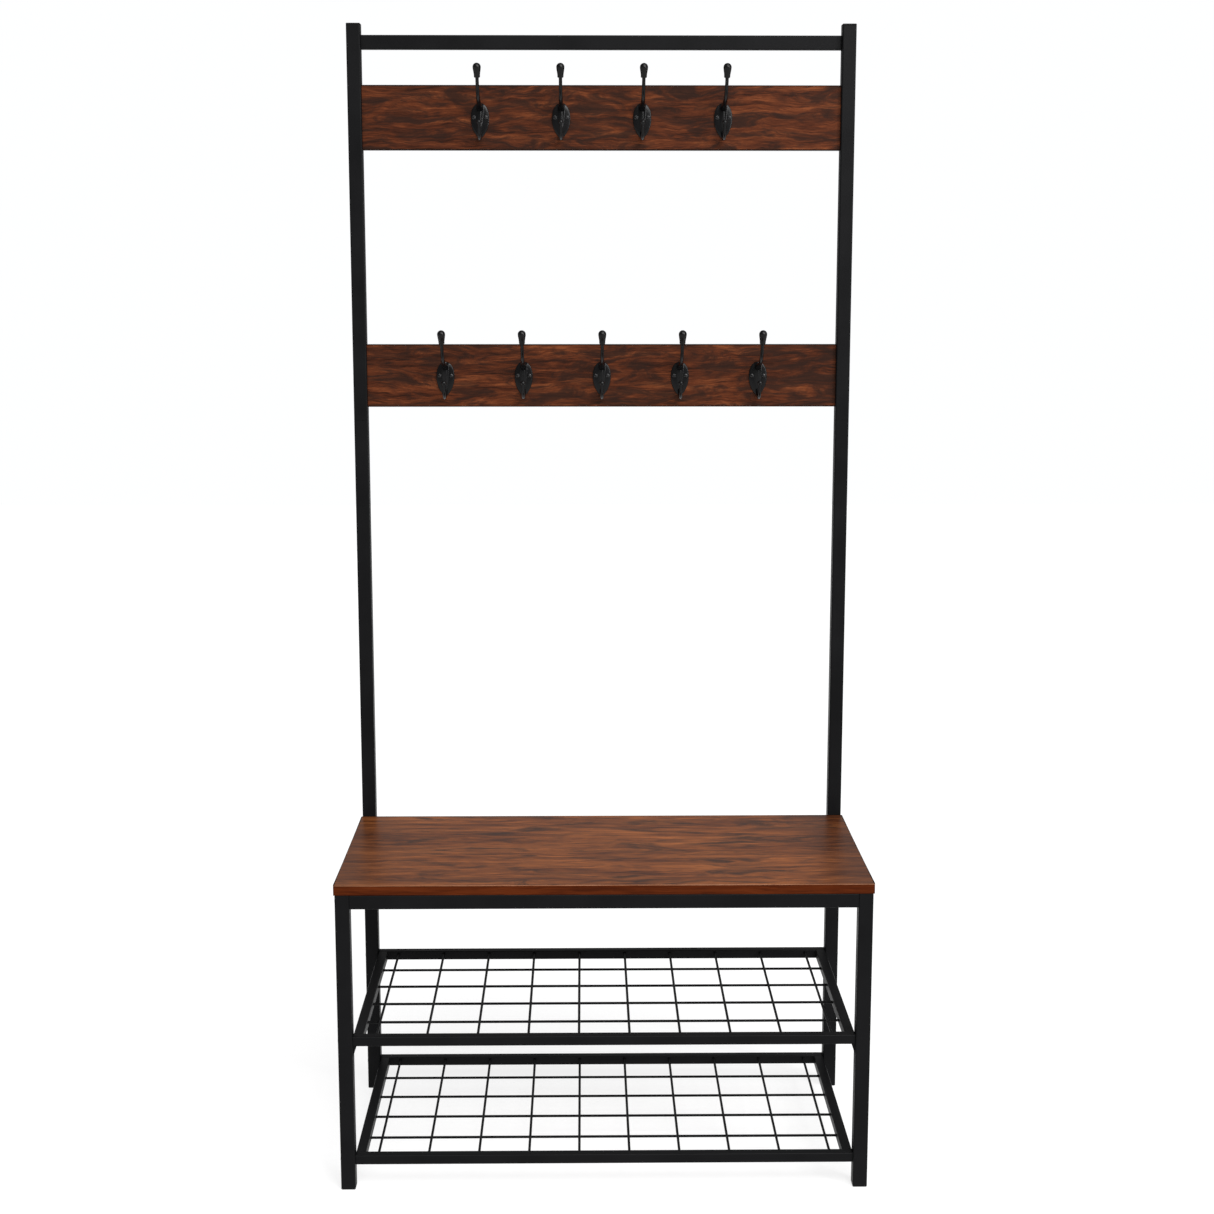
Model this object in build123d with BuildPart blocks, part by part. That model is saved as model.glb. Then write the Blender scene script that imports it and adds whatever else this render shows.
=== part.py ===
"""Hall tree with hooks: a bench with two wire shelves below and two hook boards above.

The steel frame stands on four square legs. The rear pair carries on upwards as posts, in three
lengths joined over inner sleeves. Origin: on the floor, under the middle of the frame. +X is the
sitter's left to right as seen from the front, -Y is the front, +Z is up. Millimetres.
"""
import os

from build123d import *

os.makedirs("parts", exist_ok=True)

# ---- overall size ----
FRAME_WIDTH = 800.0
FRAME_DEPTH = 400.0
FRAME_HEIGHT = 1760.0

# ---- square tubes ----
LEG = 22.0
LEG_WALL = 1.2
LEG_CORNER = 2.0
SHELF_TUBE = 15.0
SHELF_TUBE_CORNER = 1.6
TOP_RAIL_DEPTH = 12.0
TUBE_FIT = 0.2
PLUG_CORNER = 1.6

# ---- heights ----
SEAT_TOP = 480.0
SEAT_THICKNESS = 15.0
SEAT_OVERHANG = 1.5
UPPER_SHELF_TOP = 243.0
LOWER_SHELF_TOP = 54.0
TOP_RAIL_TOP = 1743.0
UPPER_BOARD_BOTTOM = 1566.5
LOWER_BOARD_BOTTOM = 1161.5
POST_JOINT = 1140.0

# ---- hook boards and hooks ----
BOARD_HEIGHT = 100.0
BOARD_THICKNESS = 15.0
UPPER_HOOK_PITCH = 128.0
UPPER_HOOK_COUNT = 4
LOWER_HOOK_PITCH = 126.0
LOWER_HOOK_COUNT = 5
PLATE_THICKNESS = 3.0
PLATE_HALF_WIDTH = 14.5
PLATE_RISE = 22.0
PLATE_DROP = 33.0
HOOK_SCREW_PITCH = 19.0
HOOK_SCREW_RADIUS = 1.9
HOOK_HEAD_RADIUS = 3.6
HOOK_HEAD_HEIGHT = 2.2
ARM_RADIUS = 3.4
PRONG_RADIUS = 3.2
KNOB_REACH = 88.0
KNOB_LENGTH = 26.0
KNOB_RADIUS = 6.2
BALL_REACH = 42.0
BALL_RADIUS = 4.4

# ---- wire mesh ----
WIRE_RADIUS = 2.0
MESH_PITCH = 76.5
CROSS_WIRES = 10
LONG_WIRES = 4
CROSS_WIRE_DROP = 5.0
WIRE_GAP = 0.02

# ---- lugs under the upper shelf ----
LUG_DROP = 17.0
LUG_REACH = 5.5
LUG_DEPTH = 12.0

# ---- fasteners ----
BOLT_RADIUS = 3.0
BOLT_HOLE_RADIUS = 3.25
THREAD_CLEARANCE = 0.05
HEAD_RADIUS = 5.25
HEAD_HEIGHT = 1.0
SOCKET_FLATS_RADIUS = 2.2
SOCKET_DEPTH = 2.4
END_PLUG_LENGTH = 14.0
BARREL_RADIUS = 5.0
BARREL_LENGTH = 12.0
BARREL_INSET = 28.0
BOARD_BOLT_SPREAD = 28.0
SLEEVE_LENGTH = 120.0
SLEEVE_SCREW_RADIUS = 2.5
SLEEVE_SCREW_LENGTH = 5.0
SLEEVE_SCREW_OFFSET = 30.0
TAB_WIDTH = 26.0
TAB_REACH = 28.0
TAB_THICKNESS = 2.0
TAB_DROP = 18.0
SEAT_SCREW_RADIUS = 1.9
SEAT_SCREW_BITE = 11.0

# ---- caps and glides ----
CAP_THICKNESS = 3.0
GLIDE_THICKNESS = 4.0
STEM_LENGTH = 14.0

# ---- worked out from the above ----
LEG_X = (FRAME_WIDTH - LEG) / 2
LEG_Y = (FRAME_DEPTH - LEG) / 2
INNER_X = FRAME_WIDTH / 2 - LEG
INNER_Y = FRAME_DEPTH / 2 - LEG
APRON_TOP = SEAT_TOP - SEAT_THICKNESS
APRON_Z = APRON_TOP - LEG / 2
SHELF_RAIL_INNER_Y = LEG_Y - SHELF_TUBE / 2
SIDE_RAIL_X = INNER_X - SHELF_TUBE / 2
REAR_FACE = FRAME_DEPTH / 2
BOARD_Y = REAR_FACE - BOARD_THICKNESS / 2
BOARD_FRONT = REAR_FACE - BOARD_THICKNESS
TOP_RAIL_Y = REAR_FACE - TOP_RAIL_DEPTH / 2
TOP_RAIL_Z = TOP_RAIL_TOP - LEG / 2
BORE = LEG - 2 * LEG_WALL - TUBE_FIT
SIDES = {"left": -1, "right": 1}
ENDS = {"front": -1, "rear": 1}
SHELVES = {"upper": UPPER_SHELF_TOP, "lower": LOWER_SHELF_TOP}
BOARDS = {
    "upper": (UPPER_BOARD_BOTTOM, UPPER_HOOK_PITCH, UPPER_HOOK_COUNT),
    "lower": (LOWER_BOARD_BOTTOM, LOWER_HOOK_PITCH, LOWER_HOOK_COUNT),
}


def save(builder, name):
    """Label a finished piece and write its STEP file."""
    builder.part.label = name
    export_step(builder.part, f"parts/{name}.step")


def tube_section(width, height, wall=LEG_WALL, corner=LEG_CORNER):
    """Hollow rounded rectangle, drawn in the sketch that is open."""
    RectangleRounded(width, height, corner)
    RectangleRounded(width - 2 * wall, height - 2 * wall, corner - wall / 2, mode=Mode.SUBTRACT)


def cut_across(radius, centres):
    """Drill holes along X right through the open part, at the given (y, z) centres."""
    with BuildSketch(Plane.YZ) as holes:
        with Locations(*centres):
            Circle(radius)
    extrude(holes.sketch, amount=FRAME_WIDTH, both=True, mode=Mode.SUBTRACT)


def spread(count, pitch):
    """Evenly pitched positions about zero."""
    return [(index - (count - 1) / 2) * pitch for index in range(count)]


def board_bolt_heights(bottom):
    """Heights of the two bolts at each end of a hook board."""
    middle = bottom + BOARD_HEIGHT / 2
    return [middle - BOARD_BOLT_SPREAD, middle + BOARD_BOLT_SPREAD]


# Every rail that runs left to right is bolted at both ends: (y, z) of each bolt.
shelf_bolts = [
    (end * LEG_Y, top - SHELF_TUBE / 2) for end in ENDS.values() for top in SHELVES.values()
]
apron_bolts = [(end * LEG_Y, APRON_Z) for end in ENDS.values()]
top_rail_bolts = [(TOP_RAIL_Y, TOP_RAIL_Z)]
board_bolts = [(BOARD_Y, z) for bottom, _, _ in BOARDS.values() for z in board_bolt_heights(bottom)]
sleeve_screws = [
    (LEG_Y, joint + step)
    for joint in (APRON_TOP, POST_JOINT)
    for step in (-SLEEVE_SCREW_OFFSET, SLEEVE_SCREW_OFFSET)
]
cross_bolts = shelf_bolts + apron_bolts + top_rail_bolts + board_bolts

# ---- legs and posts: 22 mm square tube ----
for side, sign in SIDES.items():
    for name, y, bottom, top in (
        ("front_leg", -LEG_Y, GLIDE_THICKNESS, APRON_TOP),
        ("rear_leg", LEG_Y, GLIDE_THICKNESS, APRON_TOP),
        ("middle_post", LEG_Y, APRON_TOP, POST_JOINT),
        ("upper_post", LEG_Y, POST_JOINT, FRAME_HEIGHT - CAP_THICKNESS),
    ):
        with BuildPart() as upright:
            with BuildSketch(Plane.XY.offset(bottom)):
                with Locations((sign * LEG_X, y)):
                    tube_section(LEG, LEG)
            extrude(amount=top - bottom)
            bolts = [c for c in cross_bolts if bottom < c[1] < top and c[0] * y > 0]
            if bolts:
                cut_across(BOLT_HOLE_RADIUS, bolts)
            screws = [c for c in sleeve_screws if bottom < c[1] < top and y > 0]
            if screws:
                with BuildSketch(Plane.YZ.offset(sign * LEG_X)):
                    with Locations(*screws):
                        Circle(SLEEVE_SCREW_RADIUS + THREAD_CLEARANCE)
                extrude(amount=sign * LEG, mode=Mode.SUBTRACT)
        save(upright, f"{name}_{side}")

    # Inner sleeves that carry the posts across their two joints.
    for name, joint in (("seat_sleeve", APRON_TOP), ("post_sleeve", POST_JOINT)):
        with BuildPart() as sleeve:
            with BuildSketch(Plane.XY.offset(joint - SLEEVE_LENGTH / 2)):
                with Locations((sign * LEG_X, LEG_Y)):
                    tube_section(BORE, BORE, corner=PLUG_CORNER)
            extrude(amount=SLEEVE_LENGTH)
            near = [c for c in cross_bolts if abs(c[1] - joint) < SLEEVE_LENGTH / 2 and c[0] > 0]
            cut_across(BOLT_HOLE_RADIUS, near)
            threads = [c for c in sleeve_screws if abs(c[1] - joint) < SLEEVE_LENGTH / 2]
            with BuildSketch(Plane.YZ.offset(sign * LEG_X)):
                with Locations(*threads):
                    Circle(SLEEVE_SCREW_RADIUS + THREAD_CLEARANCE)
            extrude(amount=sign * LEG, mode=Mode.SUBTRACT)
        save(sleeve, f"{name}_{side}")

    # Moulded cap on the post and a glide under each leg: a flange outside, a stem in the bore.
    with BuildPart() as cap:
        with BuildSketch(Plane.XY.offset(FRAME_HEIGHT - CAP_THICKNESS)):
            with Locations((sign * LEG_X, LEG_Y)):
                RectangleRounded(LEG, LEG, LEG_CORNER)
        extrude(amount=CAP_THICKNESS)
        fillet(cap.edges().group_by(Axis.Z)[-1], 1.0)
        with BuildSketch(Plane.XY.offset(FRAME_HEIGHT - CAP_THICKNESS)):
            with Locations((sign * LEG_X, LEG_Y)):
                RectangleRounded(BORE, BORE, PLUG_CORNER)
        extrude(amount=-STEM_LENGTH / 2)
    save(cap, f"post_cap_{side}")

    for end, way in ENDS.items():
        with BuildPart() as glide:
            with BuildSketch(Plane.XY):
                with Locations((sign * LEG_X, way * LEG_Y)):
                    RectangleRounded(LEG, LEG, LEG_CORNER)
            extrude(amount=GLIDE_THICKNESS)
            fillet(glide.edges().group_by(Axis.Z)[0], 1.8)
            with BuildSketch(Plane.XY.offset(GLIDE_THICKNESS)):
                with Locations((sign * LEG_X, way * LEG_Y)):
                    RectangleRounded(BORE, BORE, PLUG_CORNER)
            extrude(amount=STEM_LENGTH)
        save(glide, f"foot_glide_{end}_{side}")

# ---- seat frame: four aprons in the leg tube, flush with the legs ----
for end, way in ENDS.items():
    with BuildPart() as apron:
        with BuildSketch(Plane.YZ.offset(-INNER_X)):
            with Locations((way * LEG_Y, APRON_Z)):
                tube_section(LEG, LEG)
        extrude(amount=2 * INNER_X)
    save(apron, f"seat_apron_{end}")
for side, sign in SIDES.items():
    with BuildPart() as apron:
        with BuildSketch(Plane.XZ.offset(-INNER_Y)):
            with Locations((sign * LEG_X, APRON_Z)):
                tube_section(LEG, LEG)
        extrude(amount=2 * INNER_Y)
    save(apron, f"seat_apron_{side}")

# ---- top rail between the posts: a flat tube level with the posts' rear faces ----
with BuildPart() as top_rail:
    with BuildSketch(Plane.YZ.offset(-INNER_X)):
        with Locations((TOP_RAIL_Y, TOP_RAIL_Z)):
            tube_section(TOP_RAIL_DEPTH, LEG, corner=SHELF_TUBE_CORNER)
    extrude(amount=2 * INNER_X)
save(top_rail, "top_rail")

# ---- shelves: a frame of four rails between the legs, and a mesh of round wires in it ----
for shelf, top in SHELVES.items():
    rail_z = top - SHELF_TUBE / 2
    for end, way in ENDS.items():
        with BuildPart() as rail:
            with BuildSketch(Plane.YZ.offset(-INNER_X)):
                with Locations((way * LEG_Y, rail_z)):
                    tube_section(SHELF_TUBE, SHELF_TUBE, corner=SHELF_TUBE_CORNER)
            extrude(amount=2 * INNER_X)
        save(rail, f"{shelf}_shelf_rail_{end}")
    for side, sign in SIDES.items():
        with BuildPart() as rail:
            with BuildSketch(Plane.XZ.offset(-SHELF_RAIL_INNER_Y)):
                with Locations((sign * SIDE_RAIL_X, rail_z)):
                    tube_section(SHELF_TUBE, SHELF_TUBE, corner=SHELF_TUBE_CORNER)
            extrude(amount=2 * SHELF_RAIL_INNER_Y)
        save(rail, f"{shelf}_shelf_rail_{side}")

    cross_z = top - CROSS_WIRE_DROP
    with BuildPart() as cross_wires:
        with BuildSketch(Plane.XZ.offset(-SHELF_RAIL_INNER_Y)):
            with Locations(*[(x, cross_z) for x in spread(CROSS_WIRES, MESH_PITCH)]):
                Circle(WIRE_RADIUS)
        extrude(amount=2 * SHELF_RAIL_INNER_Y)
    save(cross_wires, f"{shelf}_shelf_cross_wires")

    long_z = cross_z - 2 * WIRE_RADIUS - WIRE_GAP
    with BuildPart() as long_wires:
        with BuildSketch(Plane.YZ.offset(SHELF_TUBE - INNER_X)):
            with Locations(*[(y, long_z) for y in spread(LONG_WIRES, MESH_PITCH)]):
                Circle(WIRE_RADIUS)
        extrude(amount=2 * (INNER_X - SHELF_TUBE))
    save(long_wires, f"{shelf}_shelf_long_wires")

# Two wedges welded to the front legs, under the ends of the upper shelf's front rail.
with BuildPart() as lugs:
    rail_bottom = UPPER_SHELF_TOP - SHELF_TUBE
    for sign in SIDES.values():
        with BuildSketch(Plane.XZ.offset(LEG_Y - LUG_DEPTH / 2)) as wedge:
            with BuildLine():
                Polyline(
                    (sign * INNER_X, rail_bottom),
                    (sign * INNER_X, rail_bottom - LUG_DROP),
                    (sign * (INNER_X - LUG_REACH), rail_bottom),
                    close=True,
                )
            make_face()
        extrude(wedge.sketch, amount=LUG_DEPTH)
save(lugs, "upper_shelf_lugs")

# ---- seat board, resting on the aprons and on six welded tabs ----
# Each tab: x and y of its corner against the apron, and the direction it reaches in.
tab_places = [(x, end * INNER_Y, 0, -end) for x in (-200, 200) for end in ENDS.values()]
tab_places += [(sign * INNER_X, 0, -sign, 0) for sign in SIDES.values()]
seat_screw_places = [
    (x + dx * TAB_REACH / 2, y + dy * TAB_REACH / 2) for x, y, dx, dy in tab_places
]

with BuildPart() as seat_tabs:
    for x, y, dx, dy in tab_places:
        shelf_size = (TAB_REACH if dx else TAB_WIDTH, TAB_REACH if dy else TAB_WIDTH)
        wall_size = (TAB_THICKNESS if dx else TAB_WIDTH, TAB_THICKNESS if dy else TAB_WIDTH)
        with BuildSketch(Plane.XY.offset(APRON_TOP)):
            with Locations((x + dx * TAB_REACH / 2, y + dy * TAB_REACH / 2)):
                Rectangle(*shelf_size)
                Circle(SEAT_SCREW_RADIUS + THREAD_CLEARANCE, mode=Mode.SUBTRACT)
        extrude(amount=-TAB_THICKNESS)
        with BuildSketch(Plane.XY.offset(APRON_TOP)):
            with Locations((x + dx * TAB_THICKNESS / 2, y + dy * TAB_THICKNESS / 2)):
                Rectangle(*wall_size)
        extrude(amount=-TAB_DROP)
save(seat_tabs, "seat_tabs")

with BuildPart() as seat_board:
    with BuildSketch(Plane.XY.offset(APRON_TOP)):
        with Locations((0, -LEG / 2)):
            Rectangle(FRAME_WIDTH + 2 * SEAT_OVERHANG, FRAME_DEPTH - LEG)
    extrude(amount=SEAT_THICKNESS)
    chamfer(seat_board.edges().group_by(Axis.Z)[-1], 0.8)
    with BuildSketch(Plane.XY.offset(APRON_TOP)):
        with Locations(*seat_screw_places):
            Circle(SEAT_SCREW_RADIUS + THREAD_CLEARANCE)
    extrude(amount=SEAT_SCREW_BITE, mode=Mode.SUBTRACT)
save(seat_board, "seat_board")

with BuildPart() as seat_screws:
    with BuildSketch(Plane.XY.offset(APRON_TOP - TAB_THICKNESS)):
        with Locations(*seat_screw_places):
            Circle(SEAT_SCREW_RADIUS)
    extrude(amount=TAB_THICKNESS + SEAT_SCREW_BITE - 1)
    with BuildSketch(Plane.XY.offset(APRON_TOP - TAB_THICKNESS)):
        with Locations(*seat_screw_places):
            Circle(HOOK_HEAD_RADIUS)
    extrude(amount=-HOOK_HEAD_HEIGHT, taper=20)
save(seat_screws, "seat_screws")


# ---- hook boards, hooks and their screws ----
def turned(profile_plane, outline):
    """Revolve a closed outline, drawn beside the plane's own X axis, about that axis."""
    with BuildSketch(profile_plane) as profile:
        with BuildLine():
            outline()
        make_face()
    revolve(profile.sketch, axis=Axis(profile_plane.origin, profile_plane.x_dir))


def knob_outline():
    """Half of a teardrop: a narrow collar that swells to a round end."""
    neck = ARM_RADIUS * 0.8
    Polyline((0, 0), (0, neck), (2, neck + 1.2))
    Spline(
        (2, neck + 1.2),
        (KNOB_LENGTH - KNOB_RADIUS, KNOB_RADIUS),
        tangents=((1, 0.1), (1, 0)),
    )
    RadiusArc((KNOB_LENGTH - KNOB_RADIUS, KNOB_RADIUS), (KNOB_LENGTH, 0), KNOB_RADIUS)
    Line((KNOB_LENGTH, 0), (0, 0))


for row, (bottom, pitch, count) in BOARDS.items():
    middle = bottom + BOARD_HEIGHT / 2
    centres = spread(count, pitch)
    screw_places = [
        (x + step, middle) for x in centres for step in (-HOOK_SCREW_PITCH / 2, HOOK_SCREW_PITCH / 2)
    ]
    with BuildPart() as board:
        with BuildSketch(Plane.XY.offset(bottom)):
            with Locations((0, BOARD_Y)):
                Rectangle(2 * INNER_X, BOARD_THICKNESS)
        extrude(amount=BOARD_HEIGHT)
        chamfer(board.edges().filter_by(Axis.X).group_by(Axis.Y)[0], 0.6)
        with BuildSketch(Plane.XZ.offset(-BOARD_FRONT)):
            with Locations(*screw_places):
                Circle(HOOK_SCREW_RADIUS + THREAD_CLEARANCE)
        extrude(amount=-BOARD_THICKNESS + 2, mode=Mode.SUBTRACT)
        for sign in SIDES.values():
            ends = [(BOARD_Y, z) for z in board_bolt_heights(bottom)]
            with BuildSketch(Plane.YZ.offset(sign * INNER_X)):
                with Locations(*ends):
                    Circle(BOLT_HOLE_RADIUS)
            extrude(amount=-sign * (BARREL_INSET + 2 * BARREL_RADIUS), mode=Mode.SUBTRACT)
            barrels = [(sign * (INNER_X - BARREL_INSET), z) for z in board_bolt_heights(bottom)]
            with BuildSketch(Plane.XZ.offset(-REAR_FACE)):
                with Locations(*barrels):
                    Circle(BARREL_RADIUS + THREAD_CLEARANCE)
            extrude(amount=BARREL_LENGTH, mode=Mode.SUBTRACT)
    save(board, f"hook_board_{row}")

    with BuildPart() as screws:
        with BuildSketch(Plane.XZ.offset(-BOARD_FRONT + PLATE_THICKNESS)):
            with Locations(*screw_places):
                Circle(HOOK_HEAD_RADIUS)
        extrude(amount=HOOK_HEAD_HEIGHT)
        fillet(screws.edges().group_by(Axis.Y)[0], HOOK_HEAD_HEIGHT * 0.8)
        with BuildSketch(Plane.XZ.offset(-BOARD_FRONT + PLATE_THICKNESS)):
            with Locations(*screw_places):
                Circle(HOOK_SCREW_RADIUS)
        extrude(amount=-(PLATE_THICKNESS + BOARD_THICKNESS - 3))
    save(screws, f"hook_screws_{row}")

    for number, x in enumerate(centres, start=1):
        side_plane = Plane.YZ.offset(x)
        with BuildPart() as hook:
            # Leaf-shaped plate flat on the board.
            with BuildSketch(Plane.XZ.offset(-BOARD_FRONT)):
                with BuildLine():
                    tip = (x, middle - PLATE_DROP)
                    crown = (x, middle + PLATE_RISE)
                    ThreePointArc(tip, (x + PLATE_HALF_WIDTH, middle - 3), crown)
                    ThreePointArc(crown, (x - PLATE_HALF_WIDTH, middle - 3), tip)
                make_face()
            extrude(amount=PLATE_THICKNESS)
            # Upper arm: out of the plate, forward and up to the knob.
            with BuildLine() as arm_path:
                FilletPolyline(
                    Vector(x, BOARD_FRONT - 1, middle + 8),
                    Vector(x, BOARD_FRONT - 24, middle + 18),
                    Vector(x, BOARD_FRONT - KNOB_REACH + 26, middle + 23),
                    Vector(x, BOARD_FRONT - KNOB_REACH + 11, middle + 51),
                    radius=16,
                )
            arm = arm_path.line
            with BuildSketch(Plane(origin=arm @ 0, z_dir=arm % 0)):
                Circle(ARM_RADIUS)
            sweep(path=arm)
            heading = arm % 1
            knob_plane = Plane(origin=arm @ 1 - heading, x_dir=heading, z_dir=Vector(1, 0, 0))
            turned(knob_plane, knob_outline)
            # Lower prong: from the plate's tip, forward and up to a small ball.
            with BuildLine() as prong_path:
                FilletPolyline(
                    Vector(x, BOARD_FRONT - 1, middle - PLATE_DROP + 6),
                    Vector(x, BOARD_FRONT - 18, middle - PLATE_DROP - 1),
                    Vector(x, BOARD_FRONT - BALL_REACH + 2, middle - PLATE_DROP + 6),
                    Vector(x, BOARD_FRONT - BALL_REACH, middle - 8),
                    radius=8,
                )
            prong = prong_path.line
            with BuildSketch(Plane(origin=prong @ 0, z_dir=prong % 0)):
                Circle(PRONG_RADIUS)
            sweep(path=prong)
            with Locations(prong @ 1):
                Sphere(BALL_RADIUS)
            # Shave anything that reaches behind the board's face, then drill for the screws.
            with BuildSketch(Plane.XZ.offset(-BOARD_FRONT)):
                with Locations((x, middle)):
                    Rectangle(3 * PLATE_HALF_WIDTH, BOARD_HEIGHT)
            extrude(amount=-BOARD_THICKNESS, mode=Mode.SUBTRACT)
            with BuildSketch(Plane.XZ.offset(-BOARD_FRONT)):
                with Locations((x, middle)):
                    with Locations((-HOOK_SCREW_PITCH / 2, 0), (HOOK_SCREW_PITCH / 2, 0)):
                        Circle(HOOK_SCREW_RADIUS + THREAD_CLEARANCE)
            extrude(amount=PLATE_THICKNESS, mode=Mode.SUBTRACT)
        save(hook, f"hook_{row}_{number}")


# ---- fasteners that run left to right: thin flat heads outside, threaded plugs inside ----
def flat_head_bolts(places, length):
    """One bolt at each (y, z) place on both sides of the frame, heads on the outer faces."""
    for sign in SIDES.values():
        outside = Plane.YZ.offset(sign * FRAME_WIDTH / 2)
        crown = Plane.YZ.offset(sign * (FRAME_WIDTH / 2 + HEAD_HEIGHT))
        with BuildSketch(outside) as heads:
            with Locations(*places):
                Circle(HEAD_RADIUS)
        extrude(heads.sketch, amount=sign * HEAD_HEIGHT, taper=30)
        with BuildSketch(outside) as shanks:
            with Locations(*places):
                Circle(BOLT_RADIUS)
        extrude(shanks.sketch, amount=-sign * length)
        with BuildSketch(crown) as sockets:
            with Locations(*places):
                RegularPolygon(SOCKET_FLATS_RADIUS, 6)
        extrude(sockets.sketch, amount=-sign * SOCKET_DEPTH, mode=Mode.SUBTRACT)


def end_plugs(places, width, height):
    """Threaded plug inside both ends of a rail, at each (y, z) place."""
    for sign in SIDES.values():
        with BuildSketch(Plane.YZ.offset(sign * INNER_X)) as blocks:
            with Locations(*places):
                RectangleRounded(width, height, PLUG_CORNER)
                Circle(BOLT_RADIUS + THREAD_CLEARANCE, mode=Mode.SUBTRACT)
        extrude(blocks.sketch, amount=-sign * END_PLUG_LENGTH)


rail_bolt_length = LEG + END_PLUG_LENGTH
shelf_bore = SHELF_TUBE - 2 * LEG_WALL - TUBE_FIT
top_rail_bore = TOP_RAIL_DEPTH - 2 * LEG_WALL - TUBE_FIT
for name, places in (
    ("shelf", shelf_bolts),
    ("apron", apron_bolts),
    ("top_rail", top_rail_bolts),
):
    with BuildPart() as bolts:
        flat_head_bolts(places, rail_bolt_length)
    save(bolts, f"{name}_bolts")

with BuildPart() as plugs:
    end_plugs(shelf_bolts, shelf_bore, shelf_bore)
    end_plugs(apron_bolts, BORE, BORE)
    end_plugs(top_rail_bolts, top_rail_bore, BORE)
save(plugs, "rail_end_plugs")

with BuildPart() as bolts:
    flat_head_bolts(board_bolts, LEG + BARREL_INSET + BARREL_RADIUS)
save(bolts, "hook_board_bolts")

with BuildPart() as barrel_nuts:
    for sign in SIDES.values():
        barrel_x = sign * (INNER_X - BARREL_INSET)
        with BuildSketch(Plane.XZ.offset(-REAR_FACE)):
            with Locations(*[(barrel_x, z) for _, z in board_bolts]):
                Circle(BARREL_RADIUS)
        extrude(amount=BARREL_LENGTH)
    cut_across(BOLT_RADIUS + THREAD_CLEARANCE, board_bolts)
save(barrel_nuts, "barrel_nuts")

with BuildPart() as locking_screws:
    for sign in SIDES.values():
        outside = Plane.YZ.offset(sign * FRAME_WIDTH / 2)
        with BuildSketch(outside):
            with Locations(*sleeve_screws):
                Circle(SLEEVE_SCREW_RADIUS + 2)
        extrude(amount=sign * HEAD_HEIGHT * 0.7, taper=30)
        with BuildSketch(outside):
            with Locations(*sleeve_screws):
                Circle(SLEEVE_SCREW_RADIUS)
        extrude(amount=-sign * SLEEVE_SCREW_LENGTH)
save(locking_screws, "sleeve_screws")
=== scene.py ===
import math

import bpy
import numpy as np
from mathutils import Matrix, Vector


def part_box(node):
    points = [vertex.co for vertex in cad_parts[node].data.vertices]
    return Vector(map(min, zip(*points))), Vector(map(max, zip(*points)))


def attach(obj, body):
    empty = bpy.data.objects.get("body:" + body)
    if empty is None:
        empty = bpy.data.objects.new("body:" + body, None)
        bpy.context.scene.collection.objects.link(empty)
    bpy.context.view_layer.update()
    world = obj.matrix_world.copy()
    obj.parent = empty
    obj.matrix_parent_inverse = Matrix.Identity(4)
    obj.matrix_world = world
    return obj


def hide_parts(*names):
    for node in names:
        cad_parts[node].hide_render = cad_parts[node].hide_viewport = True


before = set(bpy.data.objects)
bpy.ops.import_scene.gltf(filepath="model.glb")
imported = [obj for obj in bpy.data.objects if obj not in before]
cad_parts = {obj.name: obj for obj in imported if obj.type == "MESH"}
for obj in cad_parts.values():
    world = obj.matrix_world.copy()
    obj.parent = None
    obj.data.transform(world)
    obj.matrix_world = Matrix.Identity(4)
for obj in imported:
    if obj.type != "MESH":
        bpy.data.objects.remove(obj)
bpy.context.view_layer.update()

# Camera: stands a little left of the middle at the height of a standing person's chest, three
# metres in front of the hall tree, and looks slightly down through a normal lens.
LENS_MM = 57.53
SENSOR_MM = 36.0
LOOK_DOWN = math.radians(9.488)
LOOK_RIGHT = math.radians(0.693)

camera_data = bpy.data.cameras.new("camera")
camera_data.lens = LENS_MM
camera_data.sensor_width = SENSOR_MM
camera = bpy.data.objects.new("camera", camera_data)
camera.location = (-0.0297, -2.9653, 1.3593)
camera.rotation_euler = (math.pi / 2 - LOOK_DOWN, 0, -LOOK_RIGHT)
bpy.context.scene.collection.objects.link(camera)
bpy.context.scene.camera = camera
bpy.context.scene.view_settings.view_transform = "Standard"

# Studio: a wide flat sheet of matt white paper, lit through from below so that shadows stay faint,
# under a big soft light high in front and to the right, a softbox and a strip on the right.
PAPER_HALF_WIDTH = 14.0
PAPER_FRONT = -12.0
PAPER_REAR = 9.0
PAPER_ROW = 9
PAPER_GLOW = 0.76


def new_finish(name):
    """A node material, returned with its node tree and its shader."""
    material = bpy.data.materials.new(name)
    material.use_nodes = True
    tree = material.node_tree
    return material, tree, tree.nodes["Principled BSDF"]


def studio_paper():
    """Matt white paper, a little cloudy in tone."""
    material, tree, shader = new_finish("studio_paper")
    place = tree.nodes.new("ShaderNodeTexCoord")
    cloud = tree.nodes.new("ShaderNodeTexNoise")
    cloud.inputs["Scale"].default_value = 1.5
    tone = tree.nodes.new("ShaderNodeValToRGB")
    tone.color_ramp.elements[0].color = (0.25, 0.25, 0.25, 1)
    tone.color_ramp.elements[1].color = (0.28, 0.28, 0.28, 1)
    tree.links.new(place.outputs["Object"], cloud.inputs["Vector"])
    tree.links.new(cloud.outputs["Fac"], tone.inputs["Fac"])
    tree.links.new(tone.outputs["Color"], shader.inputs["Base Color"])
    shader.inputs["Roughness"].default_value = 0.95
    shader.inputs["Specular IOR Level"].default_value = 0.1
    shader.inputs["Emission Color"].default_value = (1, 1, 1, 1)
    shader.inputs["Emission Strength"].default_value = PAPER_GLOW
    return material


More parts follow.
